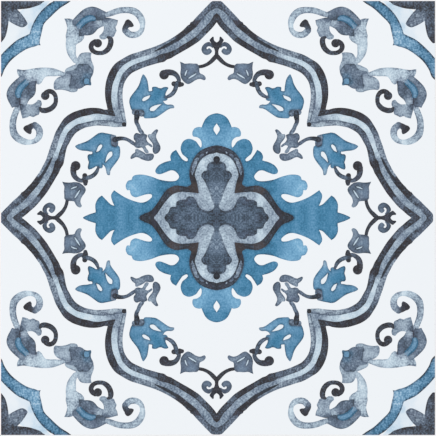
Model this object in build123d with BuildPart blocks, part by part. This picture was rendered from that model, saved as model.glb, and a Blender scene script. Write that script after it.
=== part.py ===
"""Self-adhesive vinyl floor tile: one thin, square, die-cut sheet lying face up.

Millimetres, +Z up. The origin is the centre of the adhesive back, +X runs to the
right of the printed face and +Y to its top.
"""

import os

from build123d import *

# Driving dimensions
tile_width = 304.8  # along X, the 12 inch trade size
tile_length = 304.8  # along Y
tile_thickness = 1.5  # print, wear layer, vinyl and adhesive, pressed into one sheet
eased_edge_radius = 0.25  # the blade presses in from the face and rounds the upper edges

# The sheet: a square cut through, with a flat face, a flat back and straight butt edges
with BuildPart() as floor_tile:
    with BuildSketch(Plane.XY):
        Rectangle(tile_width, tile_length)
    extrude(amount=tile_thickness)
    printed_face = floor_tile.faces().sort_by(Axis.Z)[-1]
    fillet(printed_face.edges(), radius=eased_edge_radius)

floor_tile.part.label = "floor_tile"

os.makedirs("parts", exist_ok=True)
export_step(floor_tile.part, "parts/floor_tile.step")
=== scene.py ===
"""Self-adhesive floor tile: one thin sheet of printed vinyl, dressed around its CAD frame.

The print is drawn in millimetres from its own centre, u to the right and v up, for one
quarter of the face. Geometry Nodes mirror that quarter into the whole print, which is then
trimmed to the tile, a little off its middle as a die cuts it, and closed with its eased
upper edges, cut sides and adhesive back.
"""

import logging
import math
from abc import ABC, abstractmethod
from dataclasses import dataclass, replace
from enum import Enum

import bmesh
import bpy
import numpy as np
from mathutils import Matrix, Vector, kdtree
from mathutils.geometry import delaunay_2d_cdt


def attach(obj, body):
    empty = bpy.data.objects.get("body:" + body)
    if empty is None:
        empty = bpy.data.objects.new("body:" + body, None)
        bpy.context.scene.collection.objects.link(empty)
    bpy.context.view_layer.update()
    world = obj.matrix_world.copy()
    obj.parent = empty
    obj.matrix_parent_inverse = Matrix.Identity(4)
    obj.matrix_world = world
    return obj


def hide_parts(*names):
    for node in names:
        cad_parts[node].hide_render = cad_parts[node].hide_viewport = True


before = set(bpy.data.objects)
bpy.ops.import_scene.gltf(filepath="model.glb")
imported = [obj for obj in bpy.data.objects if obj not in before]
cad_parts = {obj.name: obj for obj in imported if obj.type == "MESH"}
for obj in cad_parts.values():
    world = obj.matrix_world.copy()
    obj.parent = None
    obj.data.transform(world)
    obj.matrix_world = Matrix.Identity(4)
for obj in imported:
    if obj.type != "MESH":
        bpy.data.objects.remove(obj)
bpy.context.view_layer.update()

log = logging.getLogger("floor_tile")

MM = 0.001
SHARP = True
Points = tuple[tuple[float, ...], ...]
Colour = tuple[float, float, float, float]
Stops = tuple[tuple[float, Colour], ...]
Pair = tuple[float, float]
Socket = bpy.types.NodeSocket
Sheet = bmesh.types.BMesh
Vert = bmesh.types.BMVert
Layer = bmesh.types.BMLayerItem
PRINT_SLOT = 0
EDGE_SLOT = 1
BACK_SLOT = 2


def srgb(red: float, green: float, blue: float) -> Colour:
    """Linear colour of an sRGB colour.

    Args:
        red, green, blue: channels from 0 to 255.

    Returns:
        The linear channels and an alpha of 1.
    """
    linear = [c / 12.92 if c <= 0.04045 else ((c + 0.055) / 1.055) ** 2.4
              for c in (red / 255, green / 255, blue / 255)]
    return (linear[0], linear[1], linear[2], 1.0)


class Ink(Enum):
    """The inks of the print, by the share of blue in them, or below zero of brown."""

    IRON = -0.12
    SLATE = 0.0
    STEEL = 0.05
    TEAL = 0.72
    SEA = 0.85
    BLUE = 1.0


@dataclass(frozen=True)
class Pen:
    """Turns a drawing's points into sampled lines and outlines, in millimetres.

    A point with a third value, SHARP, is a corner; a line runs smoothly through the others.
    """

    step: float = 0.7
    fewest: int = 10
    least_gap: float = 1e-6
    least_length: float = 1e-9

    def span(
        self, before: np.ndarray, start: np.ndarray, end: np.ndarray, after: np.ndarray
    ) -> np.ndarray:
        """Samples the smooth curve from one point to the next.

        Args:
            before, start, end, after: four points in a row along the line.

        Returns:
            The points from start up to, but without, end.
        """
        gaps = []
        for a, b in ((before, start), (start, end), (end, after)):
            gaps.append(max(float(np.linalg.norm((b - a)[:2])), self.least_gap) ** 0.5)
        first, here, last = gaps
        ahead = end - start
        leave = ahead + here * ((start - before) / first - (end - before) / (first + here))
        arrive = ahead + here * ((after - end) / last - (after - start) / (here + last))
        count = max(1, math.ceil(float(np.linalg.norm(ahead[:2])) / self.step))
        t = (np.arange(count) / count)[:, None]
        rise = t * t * (3 - 2 * t)
        return start * (1 - rise) + end * rise + leave * t * (1 - t) ** 2 - arrive * t * t * (1 - t)

    def run(self, knots: np.ndarray, sharp: list[bool], closed: bool) -> np.ndarray:
        """Samples a whole line.

        Args:
            knots: the points that it goes through, one a row.
            sharp: which of them are corners.
            closed: whether the last point joins the first.

        Returns:
            The sampled points.
        """
        count = len(knots)
        rows = []
        for i in range(count if closed else count - 1):
            start = knots[i]
            end = knots[(i + 1) % count]
            free_start = sharp[i] or (not closed and i == 0)
            free_end = sharp[(i + 1) % count] or (not closed and i + 2 == count)
            before = 2 * start - end if free_start else knots[i - 1]
            after = 2 * end - start if free_end else knots[(i + 2) % count]
            rows.append(self.span(before, start, end, after))
        if not closed:
            rows.append(knots[-1:])
        return np.vstack(rows)

    def line(self, points: Points, closed: bool = False) -> np.ndarray:
        """Samples a line through these points."""
        knots = np.array([p[:2] for p in points], float)
        return self.run(knots, [len(p) > 2 for p in points], closed)

    def outline(self, points: Points) -> np.ndarray:
        """Samples a closed outline through these points."""
        return self.line(points, closed=True)

    def stroke(self, path: Points) -> np.ndarray:
        """Outline of a brush stroke with round ends.

        Args:
            path: u, v and width along its middle.

        Returns:
            The sampled closed outline.
        """
        middle = self.run(np.array(path, float), [False] * len(path), False)
        along = np.gradient(middle[:, :2], axis=0)
        along /= np.maximum(np.linalg.norm(along, axis=1, keepdims=True), self.least_length)
        side = np.stack([-along[:, 1], along[:, 0]], 1)
        half = middle[:, 2:3] / 2
        left = middle[:, :2] + side * half
        right = middle[:, :2] - side * half
        caps = []
        for end, sense in ((-1, 1.0), (0, -1.0)):
            count = 2 + math.ceil(math.pi * half[end, 0] / self.step)
            turns = np.linspace(0, math.pi, count)[1:-1, None]
            arc = side[end] * np.cos(turns) + along[end] * np.sin(turns)
            caps.append(middle[end, :2] + sense * half[end, 0] * arc)
        return np.vstack([left, caps[0], right[::-1], caps[1]])

    def circle(self, u: float, v: float, radius: float) -> np.ndarray:
        """Outline of a round dot.

        Args:
            u, v: its middle.
            radius: its radius.

        Returns:
            The sampled closed outline.
        """
        count = max(self.fewest, math.ceil(math.tau * radius / self.step))
        turns = np.linspace(0, math.tau, count, endpoint=False)
        return np.stack([u + radius * np.cos(turns), v + radius * np.sin(turns)], 1)


PEN = Pen()


@dataclass(frozen=True)
class Twin:
    """How a shape is repeated across the quarter's diagonal: swapped, stretched and moved."""

    move: Pair
    stretch: Pair = (1.0, 1.0)

    def of(self, u: float, v: float) -> Pair:
        """Where a place of the first shape lies in its twin."""
        return (v * self.stretch[0] + self.move[0], u * self.stretch[1] + self.move[1])


@dataclass(frozen=True)
class Wash:
    """How a shape is filled with ink, as with a wet brush.

    Dabs are places where the ink stands at another strength: u, v, strength and, where it
    changes, the share of blue, or below zero of brown. Between them the ink runs evenly.
    """

    tone: float
    ink: Ink = Ink.SLATE
    rim: float = 0.12
    dabs: Points = ()
    mottle: float = 1.0
    run: float = 1.6

    def at(self, place: np.ndarray) -> np.ndarray:
        """Strength of the ink and share of blue at these places.

        Args:
            place: u and v, one place a row.

        Returns:
            The strength and the share of blue, one place a row.
        """
        if not self.dabs:
            return np.tile((self.tone, self.ink.value), (len(place), 1))
        spots = np.array([(*d, self.ink.value)[:4] for d in self.dabs])
        gap = ((place[:, None, :] - spots[None, :, :2]) ** 2).sum(2) + self.run**2
        weight = gap**-2
        return weight @ spots[:, 2:] / weight.sum(1, keepdims=True)

    def twin(self, twin: Twin) -> "Wash":
        """The same wash in the shape's twin."""
        return replace(self, dabs=tuple((*twin.of(*d[:2]), *d[2:]) for d in self.dabs))


PAPER = Wash(0.0, rim=0.0)


@dataclass(frozen=True)
class Shape:
    """One painted shape: its sampled outline and the wash inside it."""

    outline: np.ndarray
    wash: Wash

    def twin(self, twin: Twin) -> "Shape":
        """Its copy on the other side of the quarter's diagonal."""
        return Shape(np.array([twin.of(u, v) for u, v in self.outline]), self.wash.twin(twin))

    def covers(self, place: np.ndarray) -> np.ndarray:
        """Whether each place lies inside the outline.

        Args:
            place: u and v, one place a row.

        Returns:
            One truth value a row.
        """
        found = np.zeros(len(place), bool)
        low = self.outline.min(0)
        high = self.outline.max(0)
        near = np.flatnonzero(((place >= low) & (place <= high)).all(1))
        if not len(near):
            return found
        a = self.outline
        b = np.roll(a, -1, 0)
        x = place[near, :1]
        y = place[near, 1:]
        side = (b[:, 0] - a[:, 0]) * (y - a[:, 1]) - (b[:, 1] - a[:, 1]) * (x - a[:, 0])
        up = (a[:, 1] <= y) & (b[:, 1] > y) & (side > 0)
        down = (a[:, 1] > y) & (b[:, 1] <= y) & (side < 0)
        found[near] = up.sum(1) != down.sum(1)
        return found


def filled(points: Points, wash: Wash) -> Shape:
    """A shape with an outline through these points."""
    return Shape(PEN.outline(points), wash)


def brushed(path: Points, wash: Wash) -> Shape:
    """A brush stroke along this path of u, v and width."""
    return Shape(PEN.stroke(path), wash)


def dot(spot: tuple[float, float, float], wash: Wash) -> Shape:
    """A round dot at u and v, with this radius."""
    return Shape(PEN.circle(*spot), wash)


def twinned(groups: tuple[tuple[list[Shape], Twin], ...]) -> list[Shape]:
    """Repeats groups of shapes across the quarter's diagonal.

    Args:
        groups: each group and how its twin lies.

    Returns:
        Each group's shapes, followed by their twins.
    """
    made = []
    for group, twin in groups:
        made += [*group, *(s.twin(twin) for s in group)]
    return made


class Motif(ABC):
    """A part of the print's ornament."""

    @abstractmethod
    def shapes(self) -> list[Shape]:
        """Its shapes in the order in which they are painted."""


@dataclass
class Spray(Motif):
    """Blue foliate spray behind the medallion, with round lobes above and pointed ones beside."""

    edge: Points = (
        (-3, 72.4), (0, 73.4), (5, 72), (7.6, 69.8), (9.4, 66.6), (10.6, 63.6, SHARP), (12.7, 63.8),
        (15.6, 62.7), (17.1, 59.8), (16.5, 57.2), (13.8, 56.6), (11.3, 54.7), (10.5, 51.5),
        (11.1, 49.4), (12.4, 50.8), (14.6, 53.7), (19.4, 55.5), (23.3, 53.9), (25.3, 49),
        (24.2, 44.9), (21.5, 42.5), (20.2, 40.8), (20.9, 39.8), (23.6, 40.8), (26, 43.8),
        (28.5, 47.8, SHARP), (31.3, 45.9), (32.6, 42.9), (32.1, 40.3, SHARP), (37, 38.9),
        (40.9, 36.6), (43.1, 33.1), (42.4, 31.2), (39.9, 30.6), (36.4, 31.7), (32, 33.3),
        (29.1, 32.6), (26.4, 29), (28.1, 26.4), (31.9, 25.7), (39.9, 26.8), (46.3, 29.1),
        (53, 30.4), (58.5, 29.4), (59.8, 26.7, SHARP), (62.3, 25.9), (63.9, 22.4), (62.8, 19.4),
        (61, 19.5, SHARP), (60.1, 16.1), (57.2, 14.4), (53.4, 15.3), (49.2, 16.5), (45.9, 16.4),
        (45.4, 15), (48.5, 12), (52.4, 10.7), (57.1, 11.5), (64.9, 14.7), (72.1, 19.4, SHARP),
        (74.1, 16), (73.4, 12), (71.9, 8.5, SHARP), (74.3, 9.4), (77.3, 12.3), (80.6, 15.7, SHARP),
        (82.9, 14), (85.1, 9.8), (85, 3.9, SHARP), (90.8, 1.9), (93.9, 0), (90.8, -1.9),
        (84, -5, SHARP), (-5, -5, SHARP), (-5, 71, SHARP),
    )
    eye: Points = ((0, 66.3, SHARP), (2.2, 62.3), (0, 58.1, SHARP), (-2.2, 62.3))
    wash: Wash = Wash(0.75, Ink.BLUE, 0.1, (
        (0, 69.5, 0.67), (6, 68.5, 0.7), (5, 62, 0.64), (12, 60, 0.5), (16, 60, 0.45), (5, 57, 0.6),
        (7, 54, 0.52), (0, 55, 0.6), (19, 50, 0.74), (16, 47, 0.7), (22, 47, 0.72), (29, 44, 0.72),
        (24, 37, 0.74), (33, 37, 0.74), (40, 34, 0.72), (22, 28, 0.72), (38, 22.5, 0.78),
        (46.4, 25, 0.62), (46.8, 27.8, 0.52), (54, 28, 0.5), (52, 22, 0.58), (58, 23, 0.47),
        (62, 23, 0.46), (57, 18, 0.46), (46, 12, 0.69), (50, 6, 0.74), (60, 6, 0.72), (66, 8, 0.68),
        (72, 14, 0.66), (75, 5, 0.73), (81, 10.5, 0.76), (84, 9.5, 0.68), (90, 1, 0.7, 0.85),
    ), mottle=1.2)

    def shapes(self) -> list[Shape]:
        """Its shapes in the order in which they are painted."""
        return [filled(self.edge, self.wash), filled(self.eye, PAPER)]


@dataclass
class Medallion(Motif):
    """Quatrefoil medallion in the middle: a dark band, a pale band and a lobed slate heart."""

    band: Points = (
        (-4.2, 50), (0, 50.9), (4.2, 50.2), (9.9, 48), (14.2, 44.4), (17.3, 39.4), (19.2, 32),
        (18.7, 27), (17.9, 23.8), (20.4, 22.1), (28.9, 22.6), (34, 20.4), (38, 16), (41.6, 10.5),
        (46, 5.1), (50.5, 3), (53.9, 1), (53.9, -1), (45, -5, SHARP), (-5, -5, SHARP),
        (-5, 49, SHARP),
    )
    pale: Points = (
        (-2.3, 45.1), (0, 45.8), (2.3, 45.1), (5, 44.7), (9.5, 42.1), (12.8, 37.8), (14.7, 32.7),
        (15.3, 29.8), (14, 25.6), (12.5, 17.2, SHARP), (18.1, 17.8), (24.3, 18.2), (30.2, 16.8),
        (34.9, 12.5), (38.6, 7.6), (41.5, 3.2), (44, 0), (41.5, -3.2), (35, -5, SHARP),
        (-5, -5, SHARP), (-5, 44, SHARP),
    )
    heart: Points = (
        (2.2, 39.7, SHARP), (5.4, 38.5), (6.9, 34.9), (6.5, 33.3, SHARP), (9.2, 32.6), (10.8, 29.6),
        (8.6, 25.8), (6, 20.3), (3.8, 14), (1.9, 8.8), (2.8, 5.9), (5.7, 4.7), (10.2, 6),
        (12.8, 8.7), (14.4, 12.3), (17, 14.8), (20.4, 14.8), (21.6, 12.8, SHARP), (25.1, 12.7),
        (28.2, 11), (28.5, 7.9, SHARP), (32.3, 7.4), (33.7, 4.3, SHARP), (35.5, 2.2), (36.7, 0),
        (35.5, -2.2), (30, -5, SHARP), (-5, -5, SHARP), (-5, 39, SHARP),
    )
    dot: tuple[float, float, float] = (0, 41, 2.4)
    ticks: tuple[Points, ...] = (
        ((6.4, 46.4, 0.7), (7.2, 45.5, 0.9)), ((9.6, 44.6, 1.3), (11.2, 43.4, 1.8)),
        ((13.2, 41.4, 1.8), (14.6, 40.4, 2.2)),
        ((14.8, 38.8, 2.4), (15.6, 37, 2.6), (16.2, 35.4, 2.2)),
        ((16.4, 33.8, 1.9), (16.8, 32.4, 1.9)), ((17, 31.2, 1.1), (17.2, 30.4, 0.8)),
    )
    band_wash: Wash = Wash(0.93, rim=0.06, mottle=1.8, dabs=(
        (0, 48, 0.92), (6, 47, 0.9), (9, 45, 0.84), (12, 43, 0.77), (15, 37, 0.8), (16.5, 35, 0.8),
        (17, 28, 0.97), (16, 22, 0.97, -0.4), (22, 20, 0.9), (30, 19.5, 0.9, -0.4), (36, 15, 0.92),
        (42, 7.5, 0.96), (50, 1, 0.93),
    ))
    pale_wash: Wash = Wash(0.35, rim=0.05, mottle=2.0, dabs=(
        (0, 44.5, 0.33), (5, 42, 0.3), (6.8, 38.4, 0.4), (10, 38, 0.25), (12.3, 34.6, 0.3),
        (13, 32, 0.42), (12, 26, 0.37), (9, 20, 0.38), (7, 12, 0.36), (5, 8, 0.45), (11, 12, 0.43),
        (18, 16, 0.45), (25, 15.5, 0.42), (30, 12.5, 0.16), (30, 9.2, 0.34), (34.6, 7.4, 0.39),
        (38, 3, 0.46), (42, 0, 0.39),
    ))
    heart_wash: Wash = Wash(0.74, Ink.STEEL, 0.08, (
        (0, 36, 0.78), (5, 35.4, 0.67), (8, 29.6, 0.8), (2, 28, 0.8), (2, 23, 0.64), (0, 20, 0.6),
        (2, 13, 0.61), (0, 8, 0.72), (0.5, 3, 0.86), (12, 3, 0.72), (12, 7, 0.74), (16, 11.6, 0.78),
        (15, 8, 0.63), (24, 9, 0.79), (22, 3, 0.75), (30, 4, 0.76), (35, 0, 0.86),
    ), mottle=2.1)

    def shapes(self) -> list[Shape]:
        """Draws its shapes.

        Returns:
            The shapes, in the order in which they are painted.
        """
        return [
            filled(self.band, self.band_wash),
            *(brushed(path, Wash(0.58, Ink.SLATE, 0.0, mottle=2.4)) for path in self.ticks),
            filled(self.pale, self.pale_wash),
            filled(self.heart, self.heart_wash),
            dot(self.dot, Wash(0.92)),
        ]


@dataclass
class OgeeFrame(Motif):
    """Double brush line with a pale band between: an ogee with a cusp on the diagonal."""

    outer: Points = (
        (-3.2, 152), (3.2, 152), (5.7, 149.8), (10.4, 145), (15.1, 140), (16.9, 138), (18.3, 137.3),
        (19, 135.9), (20.3, 135.1), (23.4, 132), (28.1, 128.4), (33.2, 125.2), (38.5, 122.4),
        (44.8, 119.8), (50, 118.1), (55.2, 116.4), (60, 114.9), (63.4, 113.3), (66.9, 111.2),
        (70, 109.3), (72.4, 107), (75.3, 102.5), (77.5, 96.4), (78.4, 90), (78.2, 84), (77, 78),
        (76.6, 76.1, SHARP), (78.6, 76), (82, 76.9), (87.3, 77.3), (92.1, 76.8), (97, 75.5),
        (101.9, 73.6), (106.9, 70), (110.4, 65), (113.2, 60), (115, 55), (116.8, 50), (118.2, 45.6),
        (119.9, 40.6), (121.9, 36.7), (124, 32.8), (126.3, 29.5), (128.6, 26.3), (130.9, 23.5),
        (132.5, 21.9), (133.9, 20.2), (135.8, 18.5), (137, 17.9), (137.7, 16.8), (139.8, 14.6),
        (142.1, 12.7), (145.2, 9.6), (150.2, 4.5), (151.8, 2.5), (152, -2),
    )
    upper: Points = (
        (-2.4, 146.4), (0, 147.1), (2.4, 146.4), (4.6, 144.8), (8.7, 141.3), (10.8, 138.6),
        (14.8, 133.6), (19.9, 129.7), (25, 125.4), (30, 122.3), (35.1, 119.3), (40.1, 116.7),
        (44.7, 115.5), (49.8, 113.8), (54.8, 112.4), (59.8, 110.5), (64.7, 107.7), (67.1, 105.4),
        (69.4, 102.4), (71.2, 98.4), (72.9, 93.9), (73.9, 87.4), (73.9, 82.5), (72.7, 76),
        (71.1, 71.4, SHARP), (73.2, 71.5), (79.8, 72.6), (84.5, 73.1), (89.8, 72), (95.9, 70.6),
        (102, 67.6), (105.7, 64.8), (108.7, 60), (110.9, 54.9), (112.1, 49.8), (114.3, 44.7),
        (115.7, 41.6), (117.1, 38.3), (118.9, 33.8), (120.8, 29.8), (123, 26.4), (125.9, 22.6),
        (128.7, 19.3), (131.4, 16.3), (134.2, 13.1), (136.9, 10.5), (142.6, 6.4), (145.1, 3.5),
        (147, 1.5), (147.5, 0), (147, -1.5),
    )
    lower: Points = (
        (-2, 141.6), (0, 143.8, SHARP), (1.9, 142.2), (3.4, 139.7), (4.9, 137.3), (7.3, 134.7),
        (10, 132.3), (11.6, 130.3), (13.8, 128.1), (18.9, 124.4), (24, 121.3), (29.1, 118.2),
        (34.8, 115.9), (40.4, 114.5), (42.3, 113.2), (45.1, 112.3), (50.1, 110.5), (55.2, 108.7),
        (60.2, 106.5), (63.2, 104.1), (66.6, 100), (68.1, 95.5), (69.3, 91), (69.8, 85.4),
        (69.3, 79.5), (68.2, 74.6), (66.7, 69.5), (65, 65.8, SHARP), (67.2, 65.3), (70.1, 66.1),
        (73, 67.7), (78, 68.7), (84.8, 68.5), (92.4, 67), (96, 66.1), (98.9, 65), (101.4, 63.1),
        (104.5, 59.9), (106.9, 54.8), (109, 50), (110.7, 45.6), (111.9, 41.7), (113.4, 39.7),
        (114.3, 36.1), (115.7, 31.7), (117.8, 28), (120.1, 24.2), (122.3, 20.9), (126.3, 15.2),
        (131.3, 9.6), (134.6, 6.8), (140.6, 2.4), (143.6, 0, SHARP), (141, -2.4),
    )
    inner: Points = (
        (-3, 133.7), (0, 137.4, SHARP), (2, 134.6), (4.6, 131.7), (7.2, 129.1), (12.3, 124.1),
        (14.8, 122.3), (19.9, 119.1), (25, 116.2), (30.2, 113.2), (32.2, 112), (34.8, 111.1),
        (36.8, 109.6), (40, 108.9), (44, 107.8), (50, 106), (54.9, 104), (59.8, 101.4),
        (62.9, 98.1), (64.9, 94.4), (65.8, 90.4), (66.1, 85), (65.6, 80), (64.7, 75), (63.9, 70),
        (63.3, 66.6), (63.6, 64, SHARP), (67.2, 63.8), (71.9, 63.7), (76.2, 64.3), (84.8, 64.7),
        (88.7, 64.1), (92.2, 63.3), (96, 61.5), (98.9, 59.5), (101.1, 56.8), (103.6, 52.4),
        (104.9, 50), (106.1, 45.6), (106.8, 41.7), (107.8, 37.4), (109.5, 34.7), (110.9, 31.4),
        (112.8, 28.3), (114.7, 25), (119.2, 17.8), (121.8, 14.4), (127.4, 7.9), (130.7, 5),
        (134, 2.1), (136.8, 0, SHARP), (134, -2.4),
    )
    cusp: tuple[float, float, float] = (65, 65.6, 1.6)
    outer_wash: Wash = Wash(0.95, Ink.IRON, 0.06, mottle=2.8, dabs=(
        (1, 147.8, 0.66), (2, 150.4, 0.74), (4.8, 146.2, 0.7), (6.6, 147.4, 0.66),
        (7.8, 142.6, 0.71), (10.4, 143, 0.67), (12, 140, 0.6), (14, 137, 0.93), (18, 134.5, 0.95),
        (25, 129, 0.97), (27.4, 127.4, 0.93), (29.4, 126.6, 0.57), (31.5, 125.2, 0.52),
        (36, 122.3, 0.56), (42, 119.6, 0.45), (48, 117, 0.53), (54, 114.8, 0.51), (59, 113, 0.64),
        (63, 111.5, 0.57), (66, 109, 0.7), (67.4, 105.8, 0.66), (69.2, 107.2, 0.89),
        (73, 101, 0.94), (76, 92, 0.88), (76, 84, 0.96), (74.5, 77.5, 0.89), (73, 73.5, 0.89),
        (80, 74.8, 0.98), (90, 75, 0.97), (100, 71.5, 0.98), (104.8, 66.2, 0.72),
        (105.4, 68.2, 0.93), (108.5, 64, 0.73), (111, 60, 0.69), (113, 55, 0.45), (115, 49, 0.5),
        (117.5, 43, 0.58), (120, 38.5, 0.52), (122.6, 34, 0.5), (124.8, 30.4, 0.45),
        (127, 27, 0.94), (131, 21.5, 0.97), (135, 17, 0.95), (137.7, 14.7, 0.67), (140.2, 10, 0.8),
        (141.6, 11.6, 0.47), (143.6, 7.6, 0.65), (146, 8.2, 0.61), (147.2, 5, 0.7), (149.8, 4, 0.5),
        (148.8, 1.4, 0.85), (150.8, 1, 0.68),
    ))
    band_wash: Wash = Wash(0.3, rim=0.03, mottle=2.0, dabs=(
        (0, 145, 0.5), (5, 141, 0.53), (15, 131, 0.47), (20, 127.3, 0.48), (25, 123.5, 0.44),
        (33, 119.5, 0.53), (40, 116, 0.57), (43.4, 114, 0.43), (46, 114.5, 0.33), (50, 113, 0.26),
        (57, 110.5, 0.26), (63, 107, 0.16), (67, 102, 0.27), (70.5, 96, 0.2), (71.7, 90, 0.17),
        (72, 85, 0.28), (71.7, 80, 0.3), (70, 75, 0.53), (68, 71, 0.58), (67, 68.5, 0.46),
        (71, 69.3, 0.56), (75, 70.3, 0.42), (79, 70.8, 0.3), (84, 71, 0.3), (90, 70, 0.12),
        (97, 68.3, 0.24), (102, 65.5, 0.2), (106, 61, 0.2), (107.2, 57.2, 0.34), (109, 55.6, 0.22),
        (111, 49, 0.18), (112.6, 44.5, 0.3), (113.8, 41, 0.57), (116, 36, 0.44), (119, 30, 0.48),
        (124, 22, 0.42), (129, 16.5, 0.42), (134, 11.5, 0.51), (139, 7.5, 0.5), (143.5, 3, 0.46),
    ))
    inner_wash: Wash = Wash(0.85, Ink.IRON, 0.14, mottle=2.8, dabs=(
        (0, 140.5, 0.9), (4, 136, 0.82), (7, 131.8, 0.74), (10, 128.6, 0.74), (12.3, 126.6, 0.62),
        (15, 125, 0.93), (20, 121.5, 0.92), (25, 118.8, 0.9), (28, 116.8, 0.74), (32, 115, 0.9),
        (37, 112.6, 0.95), (40.5, 111.6, 0.86), (43.5, 110.4, 0.6), (50, 108.4, 0.64),
        (56, 106.2, 0.62), (61, 103.5, 0.64), (65, 98.5, 0.62), (67, 93, 0.54), (68, 87, 0.47),
        (67.8, 81, 0.44), (66.8, 76, 0.36), (65.4, 71, 0.26), (64.6, 67.5, 0.37), (69, 65.2, 0.27),
        (74, 66, 0.3), (80, 66.6, 0.4), (86, 66.6, 0.4), (91, 65.4, 0.43), (96, 63.4, 0.72),
        (101, 59.5, 0.74), (104.6, 54, 0.62), (107, 47.5, 0.69), (107.6, 44.6, 0.83),
        (108.8, 42, 0.64), (110.5, 38, 0.95), (113, 32.5, 0.95), (116.5, 27, 0.81),
        (120, 20.5, 0.93), (123.5, 15.3, 0.9), (126, 12.8, 0.57), (129, 9.6, 0.71), (133, 6, 0.84),
        (138, 2.5, 0.79),
    ))
    dark_lines: tuple[Points, ...] = (
        ((25.5, 126.6, 1.2), (29, 124.6, 2), (33, 122.2, 2.2), (37, 120, 1.9), (41, 118.1, 1.2),
         (43.4, 117.1, 0.5)),
        ((115.3, 43, 0.5), (116.5, 40.5, 1.2), (118.6, 36.4, 1.8), (121.2, 32, 1.9),
         (124.4, 27.5, 1.8), (126, 25, 1.2)),
    )
    cusp_lines: tuple[Points, ...] = (
        ((65, 101, 0.5), (67.4, 96.6, 0.7), (68.7, 91, 0.8), (69.1, 85, 0.8), (68.7, 79, 0.7),
         (67.3, 73.6, 0.7), (65.7, 68, 1)),
        ((66, 66.5, 1), (70, 67.1, 0.7), (74, 68, 0.7), (80, 68.3, 0.7), (86, 68, 0.7),
         (90.5, 67.2, 0.5)),
    )

    def shapes(self) -> list[Shape]:
        """Draws its shapes.

        Returns:
            The shapes, in the order in which they are painted.
        """
        lines = [PEN.line(p) for p in (self.outer, self.upper, self.lower, self.inner)]
        washes = (self.outer_wash, self.band_wash, self.inner_wash)
        bands = zip(lines, lines[1:], washes)
        made = [Shape(np.vstack([one, other[::-1]]), wash) for one, other, wash in bands]
        made += [brushed(path, Wash(0.93, rim=0.0)) for path in self.dark_lines]
        made += [brushed(path, Wash(0.68, rim=0.0)) for path in self.cusp_lines]
        made.append(dot(self.cusp, Wash(0.93)))
        return made


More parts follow.
